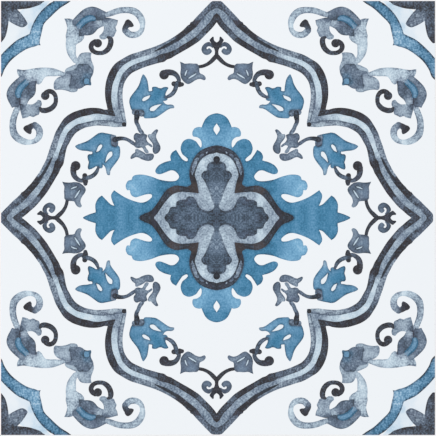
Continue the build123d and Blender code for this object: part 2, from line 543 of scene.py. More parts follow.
@dataclass
class TulipVine(Motif):
    """Vine from each tip of the frame, with a grey tulip, a curl and a blue tulip a side."""

    trunk: Points = (
        (-1, 112.2), (1.3, 114), (1.2, 116.5), (1.6, 118.3), (2.5, 119.8), (3.6, 121.6), (3, 122.9),
        (0, 123.2), (-2, 122), (-2, 113),
    )
    horn: Points = (
        (0, 123.1), (1, 123.8), (1.9, 125), (2.1, 127), (2.7, 127.3), (4.1, 126), (5, 124.8),
        (4.4, 123.5), (3.2, 122), (1, 121.6),
    )
    tip_curl: Points = (
        (1.8, 120.4), (3.2, 121.9), (5.1, 123.5), (7, 123.2), (9.1, 121.8), (10.3, 120),
        (10.7, 118), (9.8, 115.8), (8.2, 114.5), (6.1, 114.4), (4.2, 115.5), (3.3, 117),
        (4.1, 118.4), (5.4, 119.2), (6.2, 118.5), (6.9, 118.5), (7.1, 119.1), (6.9, 119.7),
        (6.3, 120.2), (5.2, 120.4), (3.9, 120), (2.9, 119.2),
    )
    low_stem: Points = (
        (12.8, 106, 2.3), (9.5, 106.6, 2.4), (6.5, 107.9, 2.5), (4.2, 109.5, 2.8),
        (2.2, 111.5, 3.1), (0, 113.9, 3.1),
    )
    grey_tulip: Points = (
        (12.7, 107), (13.8, 108.2), (16.1, 108.3), (18.7, 108.5), (22.4, 108.3), (24, 109),
        (25.8, 109.7, SHARP), (25.3, 107.5), (25.2, 104), (25.5, 102), (25.4, 100), (24.9, 98),
        (23.7, 96.3), (22.2, 94.8), (20.3, 93.9), (18.3, 94.4), (16, 95.9), (14.3, 96.9),
        (11.6, 97.5), (8.5, 96.6), (7.6, 97.8), (8.4, 99.6), (10, 100.8), (11.7, 101.6),
        (12.1, 103), (12.2, 104.8),
    )
    grey_slits: tuple[Points, ...] = (
        ((20.7, 103.8, 0.4), (21.6, 101.9, 0.9), (22.2, 100, 0.5)),
        ((14.4, 101.2, 0.5), (17, 99.6, 1), (19.6, 98, 0.5)),
    )
    black_curl: Points = (
        (26.4, 95.4, 2.6), (26.6, 97.3, 2.9), (27.8, 99.6, 3.3), (29.8, 101.4, 3.7),
        (32.5, 102.1, 4.2), (35.5, 102, 4.5),
    )
    curl_end: tuple[float, float, float] = (36.9, 100.5, 3.4)
    nodes: tuple[Points, ...] = (
        ((24.3, 93.7, 2.9), (26, 93.7, 3.9), (27.2, 93.8, 3.8)),
        ((28.8, 94.2, 3.2), (30, 94.1, 3.6)),
    )
    high_stem: Points = (
        (27.9, 95.4, 1.8), (28.2, 93.6, 2.6), (28.6, 91.8, 3.1), (29.4, 89.5, 3), (31, 87.2, 3),
        (33, 85.7, 2.7), (35.6, 84.6, 1.9),
    )
    blue_tulip: Points = (
        (51.6, 100.8), (53, 98.1), (54.2, 94.3), (55.8, 91.2), (57.9, 88.4), (59.9, 85.8),
        (61, 83.8), (61.4, 81.5), (61, 79.3), (60.3, 76.8), (59.1, 74.8), (56, 72), (51.4, 71),
        (50.7, 70), (48.3, 69.8), (45.1, 70), (42.7, 70.4), (40.4, 71.7), (37.6, 73.6),
        (34.8, 75.6), (32.5, 76.7), (29.8, 77.2), (30.1, 78.8), (32, 79.6), (34.3, 79.5),
        (36.2, 80.2), (37.6, 82, SHARP), (36.1, 82.1), (34.6, 83), (34.6, 85.1), (35.9, 86.2),
        (35.6, 87.8), (34.7, 89.6), (33.9, 91.3), (35, 91.9), (37.1, 91.8), (39, 91), (40.6, 91.2),
        (42, 91.9), (43.7, 92.1), (45.3, 91.7), (45.4, 90.3), (45.3, 89.3), (46.5, 89),
        (47.6, 89, SHARP), (47.8, 91.6), (48.2, 94.2), (48.7, 96.7), (49.8, 98.9),
    )
    side_tulip: Points = (
        (99.4, 50.2), (98.3, 48.8), (96.2, 47.6), (93.6, 47.1), (91, 46.9), (89, 46.5),
        (87.5, 46.4, SHARP), (87.3, 45.3), (88.2, 44.7), (89.7, 44.7), (90.6, 43.8), (90.7, 42.3),
        (90.3, 40.5), (89.8, 39), (90.3, 37), (90.5, 35), (89.8, 33.9), (88.2, 34.2), (86.3, 35.1),
        (84.8, 36), (83.9, 35.9), (83.6, 35), (82.4, 34.7), (80.6, 34.9), (79.9, 36),
        (80, 37.4, SHARP), (79.5, 37), (78.8, 36.2), (78.1, 34.8), (77.7, 33), (77.4, 31.5),
        (76.6, 30.1), (75.1, 30), (74.8, 31.5), (74.6, 32.9), (73.6, 34.8), (72, 36.9), (70.4, 39),
        (69, 41.1), (68, 43.3), (67.7, 46), (67.8, 48.5), (68.2, 50), (69.2, 50.8), (69.1, 52.5),
        (69.7, 55.8), (71.7, 57.9), (74, 58.7), (76.5, 59.2), (78.5, 59.6), (80.4, 59.9),
        (82.8, 59.5), (84.9, 58.2), (87.3, 56.4), (89.7, 54.7), (92, 53.5), (95, 52.4),
        (97.6, 51.5),
    )
    blue_slits: tuple[Points, ...] = (
        ((46.7, 86.1, SHARP), (48.5, 85.5), (50.9, 84.6), (52.3, 82.8), (51.6, 82), (50.4, 82.2),
         (49, 83), (47.4, 84.3)),
        ((38.7, 79.8, SHARP), (41.3, 79.4), (44.6, 78.4), (46.7, 76.8), (46.8, 75.4), (45.5, 75),
         (43.9, 75.2), (42.4, 76.5), (40.9, 78)),
    )
    calyx: Points = (
        (50.9, 74.6), (50.7, 72.5), (51.8, 71.2), (53.4, 71.1), (55, 71.9), (57.8, 72.1),
        (59.2, 72.8), (59.6, 74.6), (58.8, 76), (55.3, 76), (52.1, 75.8),
    )
    bud_stem: Points = (
        (56, 74, 3.3), (56, 72.4, 4), (56.1, 70.4, 3.7), (56.4, 68.6, 3.2), (56.2, 66.8, 2.9),
        (55, 64.4, 2.7), (54.1, 62, 2.8), (52.6, 60, 2.9), (51.5, 58.5, 2.1),
    )
    side_stem: Points = (
        (57, 51.2, 1.9), (58.6, 52.3, 2.6), (60.6, 53.7, 2.5), (62.7, 54.9, 2.4), (65, 55.6, 2.6),
        (67.6, 55.7, 2.9), (70, 55.3, 3.4), (71.6, 54.8, 3.6),
    )
    tulip_wash: Wash = Wash(0.56, rim=0.14, dabs=(
        (13, 105.5, 0.68), (16, 106, 0.57, 0.12), (20, 106.5, 0.57, 0.1), (23.7, 106, 0.67),
        (23.8, 101, 0.65), (22.5, 97.5, 0.65), (19.5, 103, 0.54, 0.12), (15, 103, 0.6),
        (20, 96, 0.61), (15, 98.5, 0.52), (10, 98.8, 0.48),
    ))
    blue_wash: Wash = Wash(0.68, Ink.SEA, 0.2, (
        (51.3, 98, 0.57, 0.75), (51, 93, 0.66), (53.5, 89, 0.66), (57, 85, 0.68), (59, 80, 0.68),
        (55, 78.5, 0.63), (49, 79, 0.62), (51, 76, 0.53), (45, 72.5, 0.58), (40, 74, 0.58),
        (36, 77.8, 0.54), (31.5, 78.4, 0.44, 0.5), (44, 84, 0.74, 1.0), (41, 87, 0.76, 1.0),
        (37, 90, 0.69), (37, 84, 0.6), (49, 87, 0.54, 0.7),
    ), mottle=1.1)

    def shapes(self) -> list[Shape]:
        """Draws its shapes.

        Returns:
            The shapes, in the order in which they are painted.
        """
        slit = Wash(0.03, rim=0.02)
        ink = Wash(0.92, Ink.IRON, 0.03, mottle=2.0)
        hook = Wash(0.9, Ink.IRON, 0.08, mottle=2.0, dabs=(
            (26.4, 96, 0.72), (27.2, 98.6, 0.74), (30, 101.4, 0.77), (33, 102.2, 0.9),
            (36.6, 101, 0.95),
        ))
        curl_wash = Wash(0.68, rim=0.1, dabs=(
            (6, 122.3, 0.74), (9.5, 120, 0.7), (8.5, 116, 0.64), (5, 116.5, 0.58),
        ))
        calyx_wash = Wash(0.62, rim=0.2, mottle=2.0, dabs=(
            (52, 73.6, 0.6), (55.4, 74, 0.49), (58.2, 74.4, 0.45),
        ))
        stem_wash = Wash(0.66, rim=0.16, mottle=2.0, dabs=(
            (56.2, 73, 0.86), (56.4, 70, 0.93), (56.6, 68, 0.8), (55.5, 65.5, 0.57), (54, 62, 0.47),
            (52, 59.4, 0.5),
        ))
        side_wash = Wash(0.66, rim=0.16, mottle=2.0, dabs=(
            (71.5, 54.8, 0.88), (69, 55.5, 0.93), (66.8, 55.7, 0.84), (64, 55.2, 0.57),
            (61, 54, 0.6), (58, 52.2, 0.56),
        ))
        tip = [
            filled(self.tip_curl, curl_wash),
            filled(self.trunk, ink),
            filled(self.horn, Wash(0.92, mottle=1.5)),
        ]
        stem = [brushed(self.low_stem, ink)]
        flower = [
            filled(self.grey_tulip, self.tulip_wash),
            *(brushed(p, Wash(0.1, rim=0.1)) for p in self.grey_slits),
        ]
        curl = [
            brushed(self.black_curl, hook),
            dot(self.curl_end, Wash(0.96, Ink.IRON, 0.0, mottle=2.0)),
            *(brushed(p, ink) for p in self.nodes),
            brushed(self.high_stem, Wash(0.66, rim=0.18, mottle=2.0)),
        ]
        tulip = [
            *(filled(p, slit) for p in self.blue_slits),
            filled(self.calyx, calyx_wash),
        ]
        beside = Twin((-3.5, 2.9), (1.023, 0.929))
        made = [
            filled(self.blue_tulip, self.blue_wash),
            filled(self.side_tulip, self.blue_wash.twin(beside)),
        ]
        twins = (
            (stem, Twin((-1.1, 0.0))), (tip, Twin((-1.1, 0.0))),
            (flower, Twin((-6.7, -0.4), (1.05, 1.0))), (curl, Twin((-1.5, -0.4))), (tulip, beside),
        )
        made += twinned(twins)
        made.append(brushed(self.bud_stem, stem_wash))
        made.append(brushed(self.side_stem, side_wash))
        return made


@dataclass
class DiagonalBud(Motif):
    """Grey bud on the diagonal, between the two blue tulips."""

    left_petal: Points = (
        (41, 61.5), (42.1, 62.2), (43.5, 61.5), (45.3, 59.7), (46.2, 58.7), (47.6, 58.8),
        (48.3, 57.9), (48.1, 56.5), (47.3, 55.1), (46.1, 53.5), (45, 52), (44.8, 50), (45, 48),
        (44.6, 45.9), (43.6, 44.9), (41.9, 45.1), (40.1, 46.7), (39.4, 48.8), (39.6, 50.5),
        (40.4, 52.2), (41.4, 53.9), (42.3, 56), (42.5, 57.7), (41.9, 59.4),
    )
    low_petal: Points = (
        (60.6, 41.9), (60, 41.3), (58.5, 41.8), (56.6, 42.6), (54.8, 42.2), (52.7, 41.1),
        (50.5, 40.3), (48, 39.9), (45.6, 40.5), (44.3, 42.1), (44, 44), (45, 45), (47.6, 45.2),
        (49.7, 45), (51.1, 46), (52.8, 47), (54.8, 48), (56, 48.5), (57.1, 48), (57.2, 46.8),
        (57.4, 46), (58.6, 45.2), (60, 43.7),
    )
    body: Points = (
        (48.7, 58), (50.1, 58.8), (51.6, 59.2), (53, 58.7), (53.9, 58.9), (55.2, 59.4),
        (56.4, 59.6), (57.7, 58.7), (58.3, 57.3), (58.3, 55.7), (57.8, 54.5), (57.1, 53.8),
        (57.4, 52.8), (58.1, 52), (58, 50.7), (56.8, 49.4), (55.2, 48.9), (53.4, 49.2),
        (52.3, 49.2), (51.2, 47.4), (50.3, 45.8), (49.2, 45.2), (47.7, 45.8), (48.1, 47.2),
        (49.3, 48.7), (50.1, 50.4, SHARP), (48.4, 51), (46.7, 50.1), (45.8, 49.5), (45, 50.2),
        (46.1, 51.6), (47.6, 52.6), (48.8, 53.9), (49.3, 55.3), (49, 56.5),
    )
    petal_wash: Wash = Wash(0.56, rim=0.14, mottle=1.5, dabs=(
        (42, 60.6, 0.58), (43.6, 57.5, 0.48), (44.5, 55, 0.46), (47, 57.4, 0.4), (43, 52.5, 0.6),
        (42, 48.5, 0.68), (43.6, 46, 0.7), (46, 43, 0.6), (49.5, 42.5, 0.6), (52.5, 44.8, 0.54),
        (55.5, 46.5, 0.42), (57, 44.5, 0.52), (59.5, 42.6, 0.62),
    ))
    body_wash: Wash = Wash(0.6, rim=0.14, mottle=1.5, dabs=(
        (50.5, 57.5, 0.64), (54.4, 56.8, 0.73), (56.8, 57.4, 0.56), (57, 51.4, 0.66),
        (53, 53.5, 0.61), (51.5, 55.5, 0.6), (54.5, 50.6, 0.53), (50, 48, 0.43), (47.4, 51.2, 0.56),
    ))

    def shapes(self) -> list[Shape]:
        """Draws its shapes.

        Returns:
            The shapes, in the order in which they are painted.
        """
        return [
            filled(self.left_petal, self.petal_wash),
            filled(self.low_petal, self.petal_wash),
            filled(self.body, self.body_wash),
        ]


@dataclass
class DiagonalFlower(Motif):
    """Dark slate flower on the diagonal, outside the frame's cusp, with two pale petals."""

    upper_petal: Points = (
        (87.8, 115.9, SHARP), (90.2, 116.2), (92.9, 116.1), (95.1, 115.6), (96.5, 114.4),
        (97.5, 112.7), (98.7, 110.8), (99, 108), (97, 104), (93, 102), (86.9, 102.7), (86.2, 105.4),
        (86.9, 108), (87.9, 110.7), (88.3, 113.3),
    )
    right_petal: Points = (
        (113.3, 89.8), (114.2, 90.7), (114.5, 93.3), (114, 95.7), (112.7, 97.5), (110.8, 98.9),
        (108.9, 99.5), (106.8, 100.6), (103, 101), (100, 97), (97.4, 90.8), (98.1, 88.9),
        (100.4, 88.2), (102.7, 88.3), (104.9, 89.1), (108, 89.8), (110.7, 90),
    )
    fold: Points = (
        (98, 107.8), (100.4, 107.3), (103.1, 106.1), (105.3, 105), (106.4, 103.8), (106.6, 102),
        (106, 100.6), (103, 101), (100, 103), (97.6, 105.6),
    )
    body: Points = (
        (86.5, 103.2), (87.7, 104.7), (89.3, 107.1), (91.1, 108.1), (93.8, 108), (96.9, 108),
        (97.8, 106.9), (98.7, 105.3), (100.4, 103.9), (102, 103.3), (104.2, 103.1), (105.8, 102.3),
        (105.3, 101.2), (103.2, 100.9), (102.4, 99.4), (102.7, 97.6), (102.9, 95), (103.6, 92.6),
        (102.8, 91.2), (100, 90.9), (96.5, 90.6), (94.2, 91.5), (92.4, 92.8), (90.7, 93.2),
        (88.4, 93), (88, 94), (88.4, 96), (88.2, 98.2), (87.1, 100.4),
    )
    patch: Points = (
        (89.5, 94, SHARP), (92.6, 93.8, SHARP), (93.2, 95.8), (92.8, 97.7, SHARP), (91, 98),
        (89.6, 97.4, SHARP),
    )
    petal_wash: Wash = Wash(0.4, rim=0.12, mottle=1.6, dabs=(
        (90, 114, 0.42), (94, 114.5, 0.47), (92, 111, 0.43), (95.5, 110, 0.31), (97.5, 109.5, 0.21),
        (88, 107, 0.38), (112, 93, 0.46), (110.7, 96.4, 0.35), (107, 96.5, 0.38), (110, 91.5, 0.43),
        (106, 93, 0.4), (104.5, 96.5, 0.31), (105.5, 100, 0.48), (102, 89.5, 0.43),
    ))
    fold_wash: Wash = Wash(0.28, rim=0.22)
    body_wash: Wash = Wash(0.6, rim=0.14, mottle=1.8, dabs=(
        (87.6, 103.4, 0.46), (91, 103.3, 0.72), (93.5, 104, 0.64), (96, 106.6, 0.64),
        (91, 106.5, 0.58), (97, 103.5, 0.7), (99.6, 99.5, 0.6), (101.4, 101.8, 0.56),
        (103.6, 102.6, 0.6), (95.5, 100, 0.62), (90.5, 100, 0.68, 0.2), (91.3, 98.8, 0.66, 0.5),
        (88.8, 95, 0.61, 0.6), (94.2, 95.5, 0.68, 0.4), (96.4, 96.5, 0.62), (98.2, 92, 0.6),
        (96, 92.5, 0.65), (100.6, 96.4, 0.64), (100.4, 93, 0.74), (103.1, 91.7, 0.61),
        (102, 95, 0.66),
    ))

    def shapes(self) -> list[Shape]:
        """Draws its shapes.

        Returns:
            The shapes, in the order in which they are painted.
        """
        return [
            filled(self.upper_petal, self.petal_wash),
            filled(self.right_petal, self.petal_wash),
            filled(self.fold, self.fold_wash),
            filled(self.body, self.body_wash),
            filled(self.patch, Wash(0.55, Ink.TEAL, 0.05)),
        ]


@dataclass
class CornerFlower(Motif):
    """Hooded flower above the frame's shoulder, with a scroll, a curl and a sepal, and its twin."""

    scroll: Points = (
        (78.5, 142.3, 3.3), (75.4, 143.2, 3.9), (71.3, 144.7, 4.1), (68, 145.6, 4.3),
        (64.7, 145.9, 4.3), (61.3, 145.8, 4.5), (57.6, 144.8, 5), (54.4, 142.1, 4.9),
        (52.4, 138.2, 4.5), (52.1, 134.5, 3.4), (53, 131.3, 3.5), (55.2, 129.2, 4.1),
        (58.4, 128.4, 4.4), (61.6, 129.1, 4.6), (64.1, 131.6, 4.6),
    )
    scroll_end: Points = (
        (65.9, 130.4), (66.4, 132.5), (65.8, 134.7), (64.8, 136.5), (64, 138.4), (62.3, 139.4),
        (60.5, 138.5), (58.7, 136.3), (58.2, 134.7), (59.6, 133.9), (61.3, 133.8), (62.4, 132.8),
        (63.4, 130.9),
    )
    block: Points = (
        (69.3, 138.8, SHARP), (73.3, 139.9), (76.7, 140.6), (80, 140.2), (81.6, 138.4),
        (80.7, 136.6), (79.4, 134.6), (79.3, 132), (80.6, 129.5), (82.4, 127.8), (82, 126),
        (80.5, 125.3), (78.7, 125.3), (76.7, 126.3), (72.3, 127.2), (71.3, 129.3), (70.3, 131.3),
        (71, 133.6), (70, 135.7),
    )
    black_curl: Points = (
        (76.4, 126.8, 1.6), (74.8, 125.8, 3.6), (74.3, 123.9, 3.9), (74.7, 121.5, 3.9),
        (75.8, 119.1, 3.8), (77.6, 117.2, 3.6), (79.7, 116, 3.1), (82.2, 115.7, 3),
        (85.2, 116.2, 3.1), (87.5, 118, 3.4), (88.2, 120.3, 3.5), (87.2, 122.5, 3.6),
        (85.3, 123.6, 3.8),
    )
    curl_end: tuple[float, float, float] = (83.5, 122.6, 3)
    sepal: Points = (
        (101.1, 139.2), (103.3, 139.9), (107.1, 139.9, SHARP), (106.2, 138), (105.5, 136),
        (105, 133.3), (105.4, 130.7), (106, 128), (105.8, 125.3), (106, 122.7), (105.8, 119.3),
        (104.8, 115.3), (103.5, 112.9), (102, 110.9), (100.4, 109), (98.7, 108.5), (97.2, 110.4),
        (98, 112.1), (98.8, 114.7), (98.8, 118.7), (98.7, 121.5), (97.4, 122.4), (95, 123.9),
        (93.3, 126), (93, 129), (94, 135),
    )
    side_sepal: Points = (
        (139.9, 101.3), (140.2, 104.4, SHARP), (138, 104.1), (136, 103.8), (132, 104.3), (128, 105),
        (123.3, 105.5), (118.7, 105.5), (114.6, 105), (111.2, 103.9), (107.8, 102.5),
        (105.8, 101.7), (106.6, 99.9), (108.4, 99.4), (110.7, 99.6), (114, 99.4), (118, 99.4),
        (120.3, 98.9), (121.7, 97.2), (123, 95), (125, 93.6), (126.6, 94.2), (130, 94), (135, 94.5),
    )
    body: Points = (
        (81.2, 139.6), (86, 139.8), (91.8, 137.5), (95.7, 132.8), (96.7, 129), (96.2, 127.4, SHARP),
        (93.3, 128), (90, 128.1), (87.3, 128.8), (85.3, 130.4), (83.5, 132.5), (81.4, 133.8),
        (79.2, 134.9), (80, 136.5), (80.8, 138.2),
    )
    hood: Points = (
        (77.7, 144.6, SHARP), (80, 145.7), (82.7, 147.1), (85.3, 148), (88, 148.3), (91.3, 147.5),
        (94, 146), (96.7, 143.7), (99.3, 141), (101.3, 138.3), (101.2, 136.2), (99.7, 135),
        (98.2, 135.3), (96.4, 137.4), (94.2, 139.7), (91.3, 141), (88, 141.2), (86.2, 139.9),
        (84.6, 138.7), (82.4, 138.6), (80.6, 139), (77.6, 140.2, SHARP), (78.4, 142),
    )
    stripe: Points = (
        (84.8, 140), (86.4, 141.6), (88.7, 141.8), (91.3, 141.1), (94, 139.4), (96, 137.4),
        (98, 135), (97.6, 132.8), (95.7, 133.6), (94, 135.2), (91.3, 137.4), (88.7, 138.6),
        (86.3, 138.9),
    )
    stripe_edges: tuple[Points, ...] = (
        ((85.4, 141, 0.6), (88, 142, 0.9), (91.4, 141.3, 1.1), (94.6, 139.2, 1.2), (97, 136.6, 1.1),
         (98.6, 135, 0.7)),
        ((85, 138.7, 0.7), (88, 138.5, 0.9), (90.8, 137.4, 1), (93.6, 135.3, 1.2),
         (95.7, 133.2, 0.9)),
    )
    scroll_wash: Wash = Wash(0.36, rim=0.15, mottle=2.4, dabs=(
        (76.6, 141.2, 0.5), (77, 143.6, 0.26), (73, 145.2, 0.38), (71, 143.8, 0.46),
        (69, 146.6, 0.38), (66, 144.7, 0.5), (64.7, 147.2, 0.37), (60, 144.5, 0.55),
        (59, 146.6, 0.35), (55.3, 143.4, 0.4), (53, 140, 0.32), (52, 135, 0.12),
        (52.6, 131.6, 0.36), (55, 129, 0.28), (58.6, 128.2, 0.37), (61.6, 129, 0.49),
        (64, 130.4, 0.43),
    ))
    end_wash: Wash = Wash(0.96, Ink.IRON, 0.02, mottle=1.5, dabs=(
        (62, 137, 0.98), (64.6, 134.8, 0.93), (64.4, 132.4, 0.75), (64.6, 130.8, 0.43),
    ))
    block_wash: Wash = Wash(0.44, rim=0.12, mottle=1.8, dabs=(
        (70.5, 138, 0.43), (74, 138, 0.49), (77.5, 139.4, 0.77), (80.5, 138.6, 0.74),
        (80, 136, 0.22), (74, 133.5, 0.4), (77.4, 132, 0.43), (74, 129, 0.45), (77.6, 128, 0.5),
        (81, 126.8, 0.42),
    ))
    sepal_wash: Wash = Wash(0.26, rim=0.17, mottle=2.6, dabs=(
        (105.4, 139, 0.4), (103, 138, 0.44), (102.4, 134.5, 0.34), (99.4, 132.5, 0.38),
        (97.5, 130, 0.38), (103.4, 129, 0.35), (100, 127.5, 0.31), (95.5, 125.8, 0.38),
        (99, 124.4, 0.3), (103, 124, 0.17), (102.3, 119, 0.19), (103.2, 114.2, 0.3),
        (101, 114.4, 0.17), (101.4, 111, 0.27), (99, 109.8, 0.24),
    ))
    side_wash: Wash = Wash(0.26, rim=0.17, mottle=2.6, dabs=(
        (139, 103, 0.46), (137, 101.8, 0.42), (132.5, 101, 0.28), (134, 97, 0.4), (129.5, 97, 0.39),
        (125.5, 96, 0.24), (128, 103, 0.26), (124, 102.5, 0.22), (118.5, 102.5, 0.19),
        (114.3, 102.6, 0.28), (112.5, 101, 0.26), (108.8, 100.8, 0.17), (106.9, 101, 0.5),
    ))
    curl_wash: Wash = Wash(0.92, Ink.IRON, 0.08, mottle=2.4, dabs=(
        (75.2, 125.4, 0.84), (74.6, 122, 0.88), (77, 117.8, 0.86), (82, 115.7, 0.86),
        (86.4, 117, 0.92), (86, 123, 0.96),
    ))
    body_wash: Wash = Wash(0.66, rim=0.14, mottle=1.8, dabs=(
        (83, 137.4, 0.35), (81.6, 138.4, 0.3), (81, 135.4, 0.4), (84.4, 134, 0.59),
        (88, 132.7, 0.72), (91.3, 133, 0.78), (88, 130, 0.66), (93, 130, 0.6), (95.6, 129, 0.7),
        (94.6, 132, 0.6), (87, 136, 0.63), (90.4, 135.6, 0.62),
    ))
    hood_wash: Wash = Wash(0.62, rim=0.14, mottle=1.5, dabs=(
        (79.4, 144, 0.47), (82, 144.6, 0.62), (85.5, 146.4, 0.59), (89, 145.6, 0.52),
        (93.5, 144, 0.56), (97.6, 140.4, 0.6), (100, 137, 0.55), (90, 143, 0.55), (86, 143, 0.58),
        (80.5, 141, 0.73), (83.6, 140.2, 0.75), (85, 139.2, 0.68),
    ))
    stripe_wash: Wash = Wash(0.56, Ink.TEAL, 0.04, (
        (86, 140.4, 0.55, 0.6), (90, 139.8, 0.58), (94, 137.4, 0.6), (96.6, 135, 0.54, 0.5),
        (97.4, 133.6, 0.5, 0.3),
    ), mottle=1.2)

    def shapes(self) -> list[Shape]:
        """Draws its shapes.

        Returns:
            The shapes, in the order in which they are painted.
        """
        line = Wash(0.82, Ink.TEAL, 0.0)
        scroll = [brushed(self.scroll, self.scroll_wash)]
        eye = [filled(self.scroll_end, self.end_wash)]
        block = [filled(self.block, self.block_wash)]
        curl = [brushed(self.black_curl, self.curl_wash)]
        end = [dot(self.curl_end, Wash(0.95, Ink.IRON, 0.0, mottle=2.4))]
        body = [filled(self.body, self.body_wash)]
        hood = [
            filled(self.hood, self.hood_wash),
            filled(self.stripe, self.stripe_wash),
            *(brushed(p, line) for p in self.stripe_edges),
        ]
        made = [filled(self.sepal, self.sepal_wash), filled(self.side_sepal, self.side_wash)]
        twins = (
            (scroll, Twin((-14, 1.6), (1.077, 0.99))), (eye, Twin((-14.3, 1.1), (1.077, 0.99))),
            (block, Twin((-2.4, 0.4))), (curl, Twin((-2.8, 3.1), (1.0, 0.972))),
            (end, Twin((-2.2, 2.2))), (body, Twin((-3.7, -1.9), (1.02, 1.015))),
            (hood, Twin((-3.7, 3.5), (1.02, 0.949))),
        )
        made += twinned(twins)
        return made


@dataclass
class CornerBracket(Motif):
    """Blue bracket across each corner, its cusp to the middle, and the rosette quarter behind."""

    bracket: Points = (
        (99.5, 153.8), (102.7, 152), (104.8, 150.5), (109.3, 147.7), (112.9, 144.7), (116.5, 141.2),
        (119.8, 138), (121.6, 135.4), (122.3, 132.6), (123.1, 129), (124, 125), (124.2, 122.8),
        (123.6, 121.1, SHARP), (125.2, 121.2), (127.4, 120.4), (132.7, 118.8), (139.3, 114.8),
        (145.2, 109.6), (149.1, 103.9), (150.9, 99.4), (152.9, 97.1), (158, 92.9, SHARP),
        (158, 106, SHARP), (153, 112.4), (149.6, 116.4), (144.8, 121.1), (139.8, 125.1),
        (133.9, 128), (131.4, 129.2, SHARP), (129.9, 134), (127.1, 139.9), (123.4, 145),
        (117.9, 150.2), (114, 152.6), (110, 158, SHARP), (96, 158, SHARP),
    )
    rosette: Points = (
        (119.5, 153.2), (122.1, 151.3), (123.9, 149.8), (127.2, 148.5), (131.6, 147.2),
        (135.3, 146.7), (140, 146.3, SHARP), (137.5, 143.7), (135.1, 140.6), (133.3, 137.7),
        (132.8, 136.3), (134.4, 134.5), (136.6, 133.7), (139.3, 134.5), (142.4, 136),
        (146.1, 138.2, SHARP), (146.5, 135.1), (147.3, 130.7), (148.5, 127), (150.3, 124.3),
        (152, 122.6), (153.8, 122.9), (158, 124, SHARP), (158, 158, SHARP), (119, 158, SHARP),
    )
    tint: Points = (
        (116, 154), (122, 153), (134, 147.5), (138, 145), (141, 140), (148, 137), (154, 126),
        (154, 112), (147, 113), (141, 119), (132, 124.5), (127.8, 137), (124, 144),
    )
    bracket_wash: Wash = Wash(0.71, Ink.TEAL, 0.3, (
        (106, 151.4, 0.68, 0.5), (112, 149, 0.71), (116, 146.5, 0.65), (118.5, 143.5, 0.61),
        (121, 143, 0.68), (121.4, 139.5, 0.61), (125, 138.4, 0.72), (126.6, 134.8, 0.46),
        (124.5, 134.5, 0.53), (126.5, 131, 0.37), (128.5, 129.5, 0.5), (127.5, 126, 0.37),
        (125, 125.8, 0.5), (126, 123, 0.36, 0.75), (129.5, 122.5, 0.47), (132.2, 124.2, 0.74),
        (135.8, 125.8, 0.46), (135.5, 121.6, 0.5), (137.5, 123.6, 0.49), (139.6, 119.5, 0.6),
        (141, 117.2, 0.54), (142.5, 118.5, 0.73), (146, 114, 0.64), (149, 110, 0.66),
        (151.5, 104, 0.58, 0.7), (151.5, 100, 0.6, 0.5),
    ), mottle=2.6)
    rosette_wash: Wash = Wash(0.76, Ink.IRON, 0.16, mottle=2.8, dabs=(
        (125, 151.4, 0.75), (125.8, 149.4, 0.9), (130, 151, 0.68), (135, 150.4, 0.69),
        (131, 148.6, 0.88), (137, 148, 0.93), (143, 148, 0.95), (147, 147, 0.77),
        (145.8, 150.2, 0.7), (150, 150.5, 0.8), (151.5, 146, 0.78), (135.3, 137.6, 0.54),
        (137.2, 135, 0.64), (138, 138.6, 0.6), (141, 140.5, 0.53), (140, 144.6, 0.55),
        (143.6, 138.4, 0.55), (144.3, 140.8, 0.66), (146, 142.5, 0.66), (149.5, 141, 0.84),
        (150.5, 134.5, 0.8), (149.5, 129.5, 0.74), (152, 125.5, 1.0),
    ))
    tint_wash: Wash = Wash(0.08, Ink.TEAL, 0.0, (
        (122, 150, 0.28), (127, 142, 0.17), (130.5, 134, 0.25), (133, 131, 0.12), (127, 148, 0.21),
        (133, 145, 0.08), (138, 145, 0.14), (131.5, 140, 0.1), (135, 135, 0.06), (120, 153, 0.1),
        (137, 131, 0.09), (139, 127.5, 0.1), (141, 130, 0.03), (142, 128, 0.03), (145, 133, 0.05),
        (145, 128, 0.03), (146, 125, 0.03), (149, 119, 0.04),
    ))

    def shapes(self) -> list[Shape]:
        """Draws its shapes.

        Returns:
            The shapes, in the order in which they are painted.
        """
        return [
            filled(self.tint, self.tint_wash),
            filled(self.bracket, self.bracket_wash),
            filled(self.rosette, self.rosette_wash),
        ]


